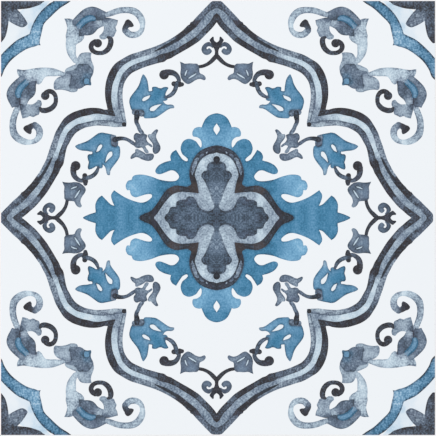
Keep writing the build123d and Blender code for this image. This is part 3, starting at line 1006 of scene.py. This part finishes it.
class NodeTree:
    """Short ways to add and join the nodes of a material or of the world."""

    NOISE_ROUGHNESS = 0.55
    NOISE_MIDDLE = 0.5
    MIX_SHARE = 0
    MIX_FIRST = 6
    MIX_SECOND = 7
    MIX_RESULT = 2

    def __init__(self, tree: bpy.types.NodeTree) -> None:
        """Clears the tree."""
        self.tree = tree
        tree.nodes.clear()

    def node(self, kind: str, **inputs: object) -> bpy.types.Node:
        """Adds a node.

        Args:
            kind: its Blender type.
            inputs: its inputs by name, with _ for a space; a socket is linked, a value is set.

        Returns:
            The node.
        """
        made = self.tree.nodes.new(kind)
        for name, value in inputs.items():
            self.put(made.inputs[name.replace("_", " ")], value)
        return made

    def put(self, socket: Socket, value: object) -> None:
        """Feeds an input.

        Args:
            socket: the input.
            value: a socket, which is linked to it, or a plain value, which is set on it.
        """
        if isinstance(value, Socket):
            self.tree.links.new(value, socket)
        else:
            socket.default_value = value

    def sum(self, operation: str, first: object, second: object, clamp: bool = False) -> Socket:
        """Adds a Math node of two values.

        Args:
            operation: Blender's name for it.
            first, second: sockets or numbers.
            clamp: whether the result stays within 0 and 1.

        Returns:
            Its output.
        """
        made = self.tree.nodes.new("ShaderNodeMath")
        made.operation = operation
        made.use_clamp = clamp
        self.put(made.inputs[0], first)
        self.put(made.inputs[1], second)
        return made.outputs[0]

    def noise(self, place: Socket, scale: float, detail: float, flat: bool = True) -> Socket:
        """Adds a noise pattern about zero.

        Args:
            place: the coordinates it reads.
            scale: patches along one unit of them.
            detail: how many finer layers it has.
            flat: whether it varies along two axes only.

        Returns:
            A value from about -0.5 to 0.5.
        """
        made = self.node("ShaderNodeTexNoise", Vector=place, Scale=scale, Detail=detail)
        made.inputs["Roughness"].default_value = self.NOISE_ROUGHNESS
        made.noise_dimensions = "2D" if flat else "3D"
        return self.sum("SUBTRACT", made.outputs["Fac"], self.NOISE_MIDDLE)

    def ramp(self, value: Socket, stops: Stops) -> Socket:
        """Adds a colour ramp.

        Args:
            value: what it reads.
            stops: places along it and their colours.

        Returns:
            The colour.
        """
        made = self.node("ShaderNodeValToRGB", Fac=value)
        row = made.color_ramp.elements
        while len(row) < len(stops):
            row.new(0.5)
        for element, (place, colour) in zip(row, stops):
            element.position = place
            element.color = colour
        return made.outputs["Color"]

    def mix(self, share: object, first: object, second: object) -> Socket:
        """Adds a mix of two colours.

        Args:
            share: the share of the second colour, a socket or a number.
            first, second: the colours, sockets or values.

        Returns:
            The mixed colour.
        """
        made = self.tree.nodes.new("ShaderNodeMix")
        made.data_type = "RGBA"
        self.put(made.inputs[self.MIX_SHARE], share)
        self.put(made.inputs[self.MIX_FIRST], first)
        self.put(made.inputs[self.MIX_SECOND], second)
        return made.outputs[self.MIX_RESULT]

    def surface(self, shader: bpy.types.Node, kind: str = "ShaderNodeOutputMaterial") -> None:
        """Ends the tree in this shader, with an output of this kind."""
        self.node(kind, Surface=shader.outputs[0])


def new_material(name: str) -> tuple[bpy.types.Material, NodeTree]:
    """Adds a material.

    Args:
        name: its name.

    Returns:
        The material and its node tree, which is empty.
    """
    made = bpy.data.materials.new(name)
    made.use_nodes = True
    return made, NodeTree(made.node_tree)


def placed(name: str, data: bpy.types.ID) -> bpy.types.Object:
    """Adds an object to the scene.

    Args:
        name: its name.
        data: its mesh, lamp or camera.

    Returns:
        The object.
    """
    made = bpy.data.objects.new(name, data)
    bpy.context.scene.collection.objects.link(made)
    return made


@dataclass(frozen=True)
class PrintFinish:
    """Watercolour print under a satin, finely embossed wear layer."""

    name: str = "printed_vinyl"
    roughness: float = 0.42
    specular: float = 0.12
    grain_per_mm: float = 0.8
    bloom_per_mm: float = 0.17
    grain: float = 0.3
    bloom: float = 0.16
    emboss_per_m: float = 1600.0
    emboss_height: float = 0.02 * MM
    emboss_strength: float = 0.35
    shine_wander: float = 0.12
    wet_gain: float = 3.0
    rim_bloom: float = 1.6
    rim_grey: float = 1.6
    dense_from: float = 0.7
    dense_gain: float = 5.0
    drift_per_mm: float = 0.12
    drift_share: float = 0.4
    fleck_per_mm: float = 0.33
    fleck_share: float = 0.8
    patch_bias: float = 0.02
    slate: Stops = (
        (0.0, srgb(239, 243, 247)), (0.2, srgb(197, 216, 229)), (0.4, srgb(158, 175, 191)),
        (0.6, srgb(104, 120, 140)), (0.76, srgb(74, 87, 103)), (0.9, srgb(55, 61, 70)),
        (1.0, srgb(42, 44, 50)),
    )
    blue: Stops = (
        (0.0, srgb(239, 243, 247)), (0.2, srgb(205, 224, 240)), (0.45, srgb(130, 181, 214)),
        (0.6, srgb(100, 152, 188)), (0.75, srgb(66, 126, 162)), (0.88, srgb(50, 95, 125)),
        (1.0, srgb(38, 62, 80)),
    )
    violet: Colour = srgb(112, 116, 146)
    brown: Colour = srgb(86, 76, 74)

    def patches(
        self, tree: NodeTree, place: Socket, per_mm: float, detail: float, share: float
    ) -> Socket:
        """Adds loose patches of another ink.

        Args:
            tree: the material's tree.
            place: the place in the print.
            per_mm: patches along one millimetre.
            detail: how many finer layers they have.
            share: how fast the other ink sets in.

        Returns:
            The share of the other ink.
        """
        spread = tree.sum("ADD", tree.noise(place, per_mm, detail), self.patch_bias)
        return tree.sum("MULTIPLY", spread, share, clamp=True)

    def material(self) -> bpy.types.Material:
        """Builds the material, which reads the print's own attributes on the mesh.

        Returns:
            The material.
        """
        made, tree = new_material(self.name)
        pigment = tree.node("ShaderNodeAttribute")
        pigment.attribute_name = "pigment"
        parts = tree.node("ShaderNodeSeparateColor", Color=pigment.outputs["Color"])
        tone, hue, rim = parts.outputs[:3]
        spot = tree.node("ShaderNodeAttribute")
        spot.attribute_name = "print_place"
        place = spot.outputs["Vector"]
        grain = tree.noise(place, self.grain_per_mm, detail=3.0)
        bloom = tree.noise(place, self.bloom_per_mm, detail=2.0)
        wet = tree.sum("MULTIPLY", tone, self.wet_gain, clamp=True)
        wet = tree.sum("MULTIPLY", wet, pigment.outputs["Alpha"])
        mottle = tree.sum("MULTIPLY", grain, self.grain)
        mottle = tree.sum("ADD", mottle, tree.sum("MULTIPLY", bloom, self.bloom))
        strength = tree.sum("ADD", tone, tree.sum("MULTIPLY", mottle, wet))
        edge = tree.sum("ADD", tree.sum("MULTIPLY", bloom, self.rim_bloom), 1.0)
        strength = tree.sum("ADD", strength, tree.sum("MULTIPLY", rim, edge), clamp=True)
        dense = tree.sum("SUBTRACT", tone, self.dense_from)
        dense = tree.sum("MULTIPLY", dense, self.dense_gain, clamp=True)
        drift = self.patches(tree, place, self.drift_per_mm, 1.0, self.drift_share)
        drift = tree.sum("MULTIPLY", drift, tree.sum("SUBTRACT", wet, dense, clamp=True))
        slate = tree.mix(drift, tree.ramp(strength, self.slate), self.violet)
        fleck = self.patches(tree, place, self.fleck_per_mm, 3.0, self.fleck_share)
        warm = tree.sum("SUBTRACT", tree.sum("MULTIPLY", dense, fleck), hue, clamp=True)
        slate = tree.mix(warm, slate, self.brown)
        blue = tree.sum("SUBTRACT", hue, tree.sum("MULTIPLY", rim, self.rim_grey), clamp=True)
        colour = tree.mix(blue, slate, tree.ramp(strength, self.blue))
        coords = tree.node("ShaderNodeTexCoord").outputs["Object"]
        emboss = tree.noise(coords, self.emboss_per_m, detail=2.0, flat=False)
        bump = tree.node("ShaderNodeBump", Height=emboss, Distance=self.emboss_height)
        bump.inputs["Strength"].default_value = self.emboss_strength
        shine = tree.sum("ADD", tree.sum("MULTIPLY", emboss, self.shine_wander), self.roughness)
        shader = tree.node("ShaderNodeBsdfPrincipled", Base_Color=colour, Roughness=shine)
        tree.put(shader.inputs["Normal"], bump.outputs[0])
        shader.inputs["Specular IOR Level"].default_value = self.specular
        tree.surface(shader)
        return made


@dataclass(frozen=True)
class PlainFinish:
    """Unprinted vinyl or adhesive: one pale colour with fine mottling and a slight grain."""

    name: str
    light: Colour
    dark: Colour
    roughness: float
    mottle_per_m: float
    grain_per_m: float
    grain_height: float
    grain_share: float = 0.5
    grain_strength: float = 0.5
    shine_wander: float = 0.15
    middle: float = 0.5

    def material(self) -> bpy.types.Material:
        """Builds the material on Object coordinates.

        Returns:
            The material.
        """
        made, tree = new_material(self.name)
        coords = tree.node("ShaderNodeTexCoord").outputs["Object"]
        mottle = tree.noise(coords, self.mottle_per_m, detail=3.0, flat=False)
        grain = tree.noise(coords, self.grain_per_m, detail=2.0, flat=False)
        share = tree.sum("ADD", mottle, tree.sum("MULTIPLY", grain, self.grain_share))
        share = tree.sum("ADD", share, self.middle, clamp=True)
        colour = tree.mix(share, self.dark, self.light)
        bump = tree.node("ShaderNodeBump", Height=grain, Distance=self.grain_height)
        bump.inputs["Strength"].default_value = self.grain_strength
        shine = tree.sum("ADD", tree.sum("MULTIPLY", mottle, self.shine_wander), self.roughness)
        shader = tree.node("ShaderNodeBsdfPrincipled", Base_Color=colour, Roughness=shine)
        tree.put(shader.inputs["Normal"], bump.outputs[0])
        tree.surface(shader)
        return made


CUT_EDGE = PlainFinish(
    "cut_vinyl", srgb(226, 226, 222), srgb(196, 197, 195), roughness=0.6,
    mottle_per_m=900.0, grain_per_m=4000.0, grain_height=0.03 * MM,
)
ADHESIVE = PlainFinish(
    "adhesive_coat", srgb(222, 219, 207), srgb(205, 201, 188), roughness=0.34,
    mottle_per_m=120.0, grain_per_m=700.0, grain_height=0.02 * MM,
)


def gaps_to(marks: np.ndarray, place: np.ndarray) -> np.ndarray:
    """Distance of each place from the nearest mark.

    Args:
        marks: u and v, one mark a row.
        place: u and v, one place a row.

    Returns:
        The distance, one a place.
    """
    tree = kdtree.KDTree(len(marks))
    for i, (u, v) in enumerate(marks):
        tree.insert((u, v, 0), i)
    tree.balance()
    return np.array([tree.find((u, v, 0))[2] for u, v in place])


@dataclass
class PrintedFace:
    """The print as a flat mesh: every shape cut into one sheet of triangles that carry the ink."""

    motifs: tuple[Motif, ...]
    reach: float = 154.0
    ink_spacing: float = 1.35
    paper_spacing: float = 6.0
    clearance: float = 0.5
    rim_width: float = 0.9
    margin: float = 4.0
    inset: float = 0.2
    weld: float = 1e-3

    def __post_init__(self) -> None:
        """Collects the shapes in paint order, on a ground of bare paper."""
        low = -self.margin
        high = self.reach + self.margin
        ground = Shape(np.array([(low, low), (high, low), (high, high), (low, high)]), PAPER)
        self.layers = [ground, *(s for m in self.motifs for s in m.shapes())]

    def top_layer(self, place: np.ndarray) -> np.ndarray:
        """Which layer shows at each place.

        Args:
            place: u and v, one place a row.

        Returns:
            The layer's index, one a row.
        """
        top = np.zeros(len(place), int)
        for i, shape in enumerate(self.layers[1:], 1):
            top[shape.covers(place)] = i
        return top

    def seeds(self, outlines: np.ndarray) -> np.ndarray:
        """Places between the outlines, so that the ink can run smoothly there.

        Args:
            outlines: every sampled outline point.

        Returns:
            u and v, one place a row.
        """
        rows = []
        for spacing, inked in ((self.ink_spacing, True), (self.paper_spacing, False)):
            lines = np.arange(spacing / 2, self.reach, spacing * math.sqrt(0.75))
            across = np.arange(spacing / 2, self.reach, spacing)
            steps = [(spacing / 2 * (j % 2), v) for j, v in enumerate(lines)]
            grid = np.array([(u + step, v) for step, v in steps for u in across])
            grid = grid[(grid < self.reach - self.inset).all(1)]
            grid = grid[(self.top_layer(grid) > 0) == inked]
            rows.append(grid[gaps_to(outlines, grid) > self.clearance])
        return np.vstack(rows)

    def partition(self) -> tuple[np.ndarray, np.ndarray, np.ndarray]:
        """Cuts the quarter into triangles along every outline.

        Returns:
            The points, the triangles and each triangle's layer.
        """
        reach = self.reach
        square = ((0, 0, SHARP), (reach, 0, SHARP), (reach, reach, SHARP), (0, reach, SHARP))
        rings = [PEN.outline(square), *(s.outline for s in self.layers[1:])]
        edges = []
        start = 0
        for ring in rings:
            count = len(ring)
            edges += [(start + i, start + (i + 1) % count) for i in range(count)]
            start += count
        outlines = np.vstack(rings)
        points = np.vstack([outlines, self.seeds(outlines)])
        found = delaunay_2d_cdt([Vector(p) for p in points], edges, [], 0, self.weld, False)
        place = np.array([tuple(p) for p in found[0]])
        faces = np.array(found[2])
        middle = place[faces].mean(1)
        faces = faces[((middle > 0) & (middle < reach)).all(1)]
        used, faces = np.unique(faces, return_inverse=True)
        faces = faces.reshape(-1, 3)
        place = place[used]
        return place, faces, self.top_layer(place[faces].mean(1))

    def edge_gap(self, place: np.ndarray, faces: np.ndarray, layer: np.ndarray) -> np.ndarray:
        """Distance of each point from the nearest edge that shows.

        Args:
            place: the points.
            faces: the triangles.
            layer: each triangle's layer.

        Returns:
            The distance, one a point.
        """
        sides = np.sort(np.vstack([faces[:, [0, 1]], faces[:, [1, 2]], faces[:, [2, 0]]]), axis=1)
        owner = np.tile(layer, 3)
        order = np.lexsort((sides[:, 1], sides[:, 0]))
        sides = sides[order]
        owner = owner[order]
        pair = (sides[1:] == sides[:-1]).all(1) & (owner[1:] != owner[:-1])
        shown = sides[1:][pair]
        marks = np.vstack([place[shown[:, 0]], place[shown[:, 1]], place[shown].mean(1)])
        return gaps_to(marks, place)

    def quarter(self, height: float) -> bpy.types.Object:
        """Builds one quarter of the print as an object.

        Args:
            height: where the face lies, in millimetres.

        Returns:
            The object, with its ink as corner colours and its place in the print at each point.
        """
        place, faces, layer = self.partition()
        gap = self.edge_gap(place, faces, layer)
        ink = np.ones((len(faces), 3, 4))
        for i in np.unique(layer):
            mine = np.flatnonzero(layer == i)
            wash = self.layers[i].wash
            corners = faces[mine].reshape(-1)
            ink[mine, :, :2] = wash.at(place[corners]).reshape(-1, 3, 2)
            fade = np.exp(-((gap[corners] / self.rim_width) ** 2)).reshape(-1, 3)
            ink[mine, :, 2] = wash.rim * fade
            ink[mine, :, 3] = wash.mottle
        mesh = bpy.data.meshes.new("print_quarter")
        solid = np.column_stack([place, np.full(len(place), height)]) * MM
        mesh.from_pydata(solid.tolist(), [], faces.tolist())
        pigment = mesh.attributes.new("pigment", "FLOAT_COLOR", "CORNER")
        pigment.data.foreach_set("color", ink.astype(np.float32).ravel())
        spot = mesh.attributes.new("print_place", "FLOAT_VECTOR", "POINT")
        flat = np.column_stack([place, np.zeros(len(place))])
        spot.data.foreach_set("vector", flat.astype(np.float32).ravel())
        return placed("print_quarter", mesh)


@dataclass
class QuarterMirror:
    """Geometry Nodes that mirror one quarter of the print to both sides of its two middle lines."""

    shift: Pair
    weld: float = 0.002 * MM

    def tree(self) -> bpy.types.GeometryNodeTree:
        """Builds the node tree.

        Returns:
            The tree, with the print's shift, the weld distance and the material as inputs.
        """
        made = bpy.data.node_groups.new("mirror_quarter", "GeometryNodeTree")
        face = made.interface
        face.new_socket("Quarter", in_out="INPUT", socket_type="NodeSocketGeometry")
        face.new_socket("Print shift", in_out="INPUT", socket_type="NodeSocketVector")
        face.new_socket("Weld distance", in_out="INPUT", socket_type="NodeSocketFloat")
        face.new_socket("Vinyl", in_out="INPUT", socket_type="NodeSocketMaterial")
        face.new_socket("Print", in_out="OUTPUT", socket_type="NodeSocketGeometry")
        nodes = made.nodes
        links = made.links
        given = nodes.new("NodeGroupInput")
        end = nodes.new("NodeGroupOutput")
        shown = given.outputs["Quarter"]
        for scale in ((-1.0, 1.0, 1.0), (1.0, -1.0, 1.0)):
            turn = nodes.new("GeometryNodeTransform")
            turn.inputs["Scale"].default_value = scale
            flip = nodes.new("GeometryNodeFlipFaces")
            both = nodes.new("GeometryNodeJoinGeometry")
            links.new(shown, turn.inputs["Geometry"])
            links.new(turn.outputs[0], flip.inputs["Mesh"])
            links.new(flip.outputs[0], both.inputs[0])
            links.new(shown, both.inputs[0])
            shown = both.outputs[0]
        weld = nodes.new("GeometryNodeMergeByDistance")
        move = nodes.new("GeometryNodeTransform")
        real = nodes.new("GeometryNodeRealizeInstances")
        dress = nodes.new("GeometryNodeSetMaterial")
        links.new(shown, weld.inputs["Geometry"])
        links.new(given.outputs["Weld distance"], weld.inputs["Distance"])
        links.new(weld.outputs[0], move.inputs["Geometry"])
        links.new(given.outputs["Print shift"], move.inputs["Translation"])
        links.new(move.outputs[0], real.inputs["Geometry"])
        links.new(real.outputs[0], dress.inputs["Geometry"])
        links.new(given.outputs["Vinyl"], dress.inputs["Material"])
        links.new(dress.outputs[0], end.inputs["Print"])
        return made

    def apply(self, quarter: bpy.types.Object, vinyl: bpy.types.Material) -> bpy.types.Mesh:
        """Runs the tree on a quarter.

        Args:
            quarter: the quarter's object, which is removed.
            vinyl: the material of the print.

        Returns:
            The whole print as a plain mesh.
        """
        tree = self.tree()
        wanted = {
            "Print shift": (self.shift[0] * MM, self.shift[1] * MM, 0.0),
            "Weld distance": self.weld,
            "Vinyl": vinyl,
        }
        modifier = quarter.modifiers.new("mirror", "NODES")
        modifier.node_group = tree
        for item in tree.interface.items_tree:
            if item.in_out == "INPUT" and item.name in wanted:
                modifier[item.identifier] = wanted[item.name]
        graph = bpy.context.evaluated_depsgraph_get()
        mesh = bpy.data.meshes.new_from_object(
            quarter.evaluated_get(graph), preserve_all_data_layers=True, depsgraph=graph
        )
        quarter.modifiers.clear()
        bpy.data.objects.remove(quarter)
        return mesh


@dataclass
class TileSheet:
    """The closed sheet: the printed face, its eased edges, the cut sides and the adhesive back."""

    width: float = 304.8
    thickness: float = 1.5
    eased_radius: float = 0.25
    eased_steps: int = 3
    print_shift: Pair = (-0.95, 0.14)
    back_spacing: float = 12.0
    map_face: float = 0.78
    map_gap: float = 0.01
    map_strip: float = 0.012
    cut_gap: float = 1e-7
    join_gap: float = 1e-9

    def trimmed(self, whole: bpy.types.Mesh) -> Sheet:
        """Cuts the print down to the flat part of the tile's face.

        Args:
            whole: the whole print, a little larger than the tile.

        Returns:
            The cut face.
        """
        bm = bmesh.new()
        bm.from_mesh(whole)
        half = (self.width / 2 - self.eased_radius) * MM
        for axis in ((1, 0, 0), (-1, 0, 0), (0, 1, 0), (0, -1, 0)):
            bmesh.ops.bisect_plane(
                bm, geom=[*bm.verts, *bm.edges, *bm.faces], dist=self.cut_gap,
                plane_co=Vector(axis) * half, plane_no=axis, clear_outer=True,
            )
        return bm

    def around(self, bm: Sheet) -> list[bmesh.types.BMLoop]:
        """Finds the face's border.

        Args:
            bm: the cut face.

        Returns:
            One loop for each border edge, in order round the tile.
        """
        loops = [edge.link_loops[0] for edge in bm.edges if len(edge.link_loops) == 1]
        ahead = {loop.vert: loop for loop in loops}
        row = [loops[0]]
        while len(row) < len(loops):
            row.append(ahead[row[-1].link_loop_next.vert])
        return row

    def close(self, bm: Sheet) -> None:
        """Adds the eased edges, the sides and the back to the cut face.

        Args:
            bm: the face, which becomes a closed sheet.
        """
        pigment = bm.loops.layers.float_color["pigment"]
        spot = bm.verts.layers.float_vector["print_place"]
        chart = bm.loops.layers.uv.new("OFBake")
        flat_half = (self.width / 2 - self.eased_radius) * MM
        for face in bm.faces:
            face.material_index = PRINT_SLOT
            for loop in face.loops:
                loop[chart].uv = self.face_spot(loop.vert.co.xy / flat_half)
        border = self.around(bm)
        ink = [(loop[pigment].copy(), loop.link_loop_next[pigment].copy()) for loop in border]
        rings = [[loop.vert for loop in border]]
        reaches = [1.0]
        for step in range(1, self.eased_steps + 1):
            angle = math.pi / 2 * step / self.eased_steps
            out = 1 + self.eased_radius * MM * math.sin(angle) / flat_half
            drop = self.thickness - self.eased_radius * (1 - math.cos(angle))
            rings.append(self.ring(bm, rings[0], out, drop, spot))
            reaches.append(1 + self.eased_radius * MM * angle / flat_half)
        rings.append(self.ring(bm, rings[0], 1 + self.eased_radius * MM / flat_half, 0.0, spot))
        count = len(border)
        top = rings[0]
        for level, (upper, lower) in enumerate(zip(rings, rings[1:])):
            wall = lower is rings[-1]
            for i in range(count):
                j = (i + 1) % count
                face = bm.faces.new((upper[j], upper[i], lower[i], lower[j]))
                face.material_index = EDGE_SLOT if wall else PRINT_SLOT
                face.smooth = not wall
                for loop, (k, down) in zip(face.loops, ((j, 0), (i, 0), (i, 1), (j, 1))):
                    loop[pigment] = ink[i][0] if k == i else ink[i][1]
                    if wall:
                        loop[chart].uv = self.side_spot(top[i], top[j], top[k], flat_half, down)
                    else:
                        share = top[k].co.xy / flat_half * reaches[level + down]
                        loop[chart].uv = self.face_spot(share)
        self.back(bm, rings[-1], chart)

    def ring(
        self, bm: Sheet, first: list[Vert], out: float, height: float, spot: Layer
    ) -> list[Vert]:
        """Adds a ring of points round the tile.

        Args:
            bm: the sheet.
            first: the face's own border.
            out: how far out the ring lies, as a share of the border's distance.
            height: its height in millimetres.
            spot: the layer of places in the print.

        Returns:
            The new points.
        """
        made = []
        for vert in first:
            new = bm.verts.new((vert.co.x * out, vert.co.y * out, height * MM))
            new[spot] = vert[spot]
            made.append(new)
        return made

    def back(self, bm: Sheet, ring: list[Vert], chart: Layer) -> None:
        """Closes the sheet with its flat adhesive back.

        Args:
            bm: the sheet.
            ring: its lowest ring of points.
            chart: the layer of the baking map.
        """
        half = self.width / 2 * MM
        line = np.arange(-self.width / 2, self.width / 2, self.back_spacing)[1:] * MM
        count = len(ring)
        points = [v.co.xy for v in ring] + [Vector((x, y)) for x in line for y in line]
        edges = [(i, (i + 1) % count) for i in range(count)]
        found = delaunay_2d_cdt(points, edges, [], 0, self.join_gap, True)
        verts = []
        for place, sources in zip(found[0], found[3]):
            old = [s for s in sources if s < count]
            verts.append(ring[old[0]] if old else bm.verts.new((place.x, place.y, 0.0)))
        low = self.map_face + 2 * self.map_gap
        size = 1 - self.map_gap - low
        for corners in found[2]:
            face = bm.faces.new([verts[i] for i in reversed(corners)])
            face.material_index = BACK_SLOT
            for loop in face.loops:
                loop[chart].uv = (
                    low + size * (loop.vert.co.x / half + 1) / 2,
                    low + size * (loop.vert.co.y / half + 1) / 2,
                )

    def face_spot(self, share: Vector) -> Pair:
        """Place on the baking map of a point of the face, from its share of the half width."""
        size = self.map_face / 2
        return (self.map_gap + size * (share.x + 1), self.map_gap + size * (share.y + 1))

    def side_spot(self, first: Vert, second: Vert, vert: Vert, half: float, down: int) -> Pair:
        """Place on the baking map of a point of a cut side.

        Args:
            first, second: the two border points of its face.
            vert: the border point above it.
            half: half of the face's flat width.
            down: 0 at the side's upper edge and 1 at its lower one.

        Returns:
            The place, on the strip of that side.
        """
        middle = (first.co + second.co) / 2
        upright = abs(middle.x) > abs(middle.y)
        strip = (0 if upright else 2) + (1 if (middle.x if upright else middle.y) > 0 else 0)
        along = (vert.co.y if upright else vert.co.x) / half
        low = self.map_face + self.map_gap * 3 + strip * (self.map_strip + self.map_gap)
        return (self.map_gap + self.map_face * (along + 1) / 2, low + self.map_strip * (1 - down))

    def build(self, face: PrintedFace) -> bpy.types.Object:
        """Builds and dresses the sheet.

        Args:
            face: the printed face.

        Returns:
            The finished piece.
        """
        vinyl = PrintFinish().material()
        whole = QuarterMirror(self.print_shift).apply(face.quarter(self.thickness), vinyl)
        bm = self.trimmed(whole)
        self.close(bm)
        bmesh.ops.recalc_face_normals(bm, faces=bm.faces)
        mesh = bpy.data.meshes.new("printed_sheet")
        bm.to_mesh(mesh)
        bm.free()
        bpy.data.meshes.remove(whole)
        for material in (vinyl, CUT_EDGE.material(), ADHESIVE.material()):
            mesh.materials.append(material)
        made = placed("printed_sheet", mesh)
        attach(made, "root")
        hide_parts("floor_tile")
        return made


@dataclass
class Studio:
    """Pale floor, soft light and a camera that looks straight down, square to the tile."""

    tile_width: float = 304.8
    tile_pixels: float = 434.0
    frame_pixels: float = 436.0
    lens: float = 200.0
    sensor: float = 36.0
    floor_size: float = 12.0
    floor_drop: float = 0.1
    floor_grey: float = 244.0
    glow_share: float = 0.5
    ambient: float = 0.915
    key_power: float = 8.65
    key_size: float = 1.6
    key_place: tuple[float, float, float] = (-1.1, 1.2, 1.9)

    def floor(self) -> bpy.types.Object:
        """Adds the floor, which shows white and keeps the shadow.

        Returns:
            The floor.
        """
        half = self.floor_size / 2
        mesh = bpy.data.meshes.new("studio_floor")
        corners = ((-half, -half), (half, -half), (half, half), (-half, half))
        mesh.from_pydata([(x, y, -self.floor_drop * MM) for x, y in corners], [], [(0, 1, 2, 3)])
        made = placed("studio_floor", mesh)
        paint, tree = new_material("studio_floor")
        matt = tree.node("ShaderNodeBsdfDiffuse", Color=srgb(*[self.floor_grey] * 3))
        glow = tree.node("ShaderNodeEmission", Color=(1.0, 1.0, 1.0, 1.0), Strength=1.0)
        path = tree.node("ShaderNodeLightPath")
        seen = tree.sum("MAXIMUM", path.outputs["Is Camera Ray"], path.outputs["Is Glossy Ray"])
        both = tree.node("ShaderNodeMixShader")
        tree.put(both.inputs[0], tree.sum("MULTIPLY", seen, self.glow_share))
        tree.put(both.inputs[1], matt.outputs[0])
        tree.put(both.inputs[2], glow.outputs[0])
        tree.surface(both)
        mesh.materials.append(paint)
        return made

    def light(self) -> None:
        """Adds an even sky and one large soft lamp."""
        world = bpy.data.worlds.new("studio")
        bpy.context.scene.world = world
        world.use_nodes = True
        tree = NodeTree(world.node_tree)
        path = tree.node("ShaderNodeLightPath")
        seen = tree.sum(
            "MAXIMUM", path.outputs["Is Camera Ray"], path.outputs["Is Transmission Ray"]
        )
        level = tree.node("ShaderNodeMapRange", Value=seen, To_Min=self.ambient, To_Max=1.0)
        white = (1.0, 1.0, 1.0, 1.0)
        sky = tree.node("ShaderNodeBackground", Color=white, Strength=level.outputs[0])
        tree.surface(sky, "ShaderNodeOutputWorld")
        lamp = bpy.data.lights.new("soft_key", "AREA")
        lamp.shape = "SQUARE"
        lamp.size = self.key_size
        lamp.energy = self.key_power
        made = placed("soft_key", lamp)
        made.location = self.key_place
        made.rotation_euler = (-Vector(self.key_place)).to_track_quat("-Z", "Y").to_euler()

    def camera(self, face_height: float) -> None:
        """Adds the camera, square above the tile's middle.

        Args:
            face_height: height of the printed face, in millimetres.
        """
        lens = bpy.data.cameras.new("above")
        lens.lens = self.lens
        lens.sensor_width = self.sensor
        seen_width = self.tile_width * self.frame_pixels / self.tile_pixels
        made = placed("above", lens)
        made.location = (0.0, 0.0, (face_height + seen_width * self.lens / self.sensor) * MM)
        bpy.context.scene.camera = made
        bpy.context.scene.view_settings.view_transform = "Standard"


def main() -> None:
    """Builds the tile and its studio."""
    logging.basicConfig(level=logging.INFO, format="%(name)s: %(message)s")
    motifs = (
        Spray(), Medallion(), OgeeFrame(), TulipVine(), DiagonalBud(), DiagonalFlower(),
        CornerFlower(), CornerBracket(),
    )
    sheet = TileSheet()
    piece = sheet.build(PrintedFace(motifs))
    log.info("%s: %d faces", piece.name, len(piece.data.polygons))
    studio = Studio(sheet.width)
    studio.floor()
    studio.light()
    studio.camera(sheet.thickness)


if __name__ == "__main__":
    main()
